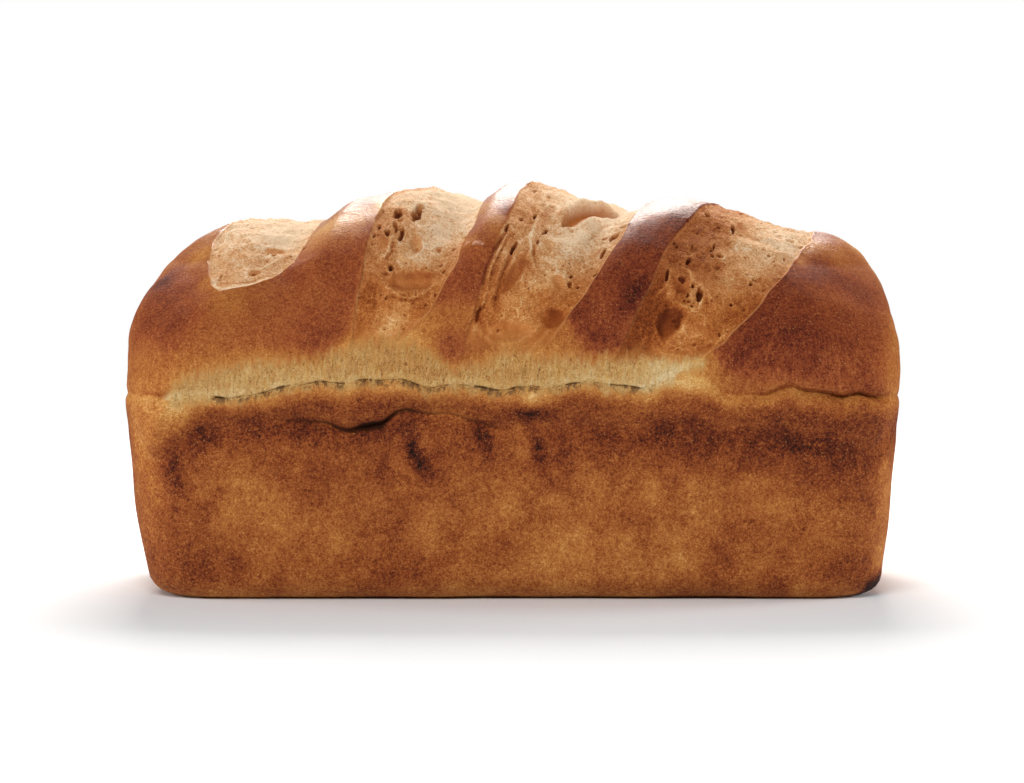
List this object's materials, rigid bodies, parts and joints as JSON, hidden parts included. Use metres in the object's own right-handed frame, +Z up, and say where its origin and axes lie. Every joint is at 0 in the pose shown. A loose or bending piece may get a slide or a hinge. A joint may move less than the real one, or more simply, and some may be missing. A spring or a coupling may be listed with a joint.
{
  "type": "sourdough loaf",
  "caption": "Tin-baked sourdough loaf with straight walls, a torn edge above the rim and a domed top with slanted slashes.",
  "frame": {"origin": "centre of the loaf's box at its base, on the surface it stands on", "axes": "+X along the loaf's length, +Z up, and the side with the open tear faces -Y"},
  "size_m": [0.2512, 0.1266, 0.1337],
  "materials": {
    "crust": "baked crust, satin brown on the dome, paler and matt in the slashes and along the tear"
  },
  "bodies": {
    "root": {"loaf": "crust"}
  },
  "joints": []
}
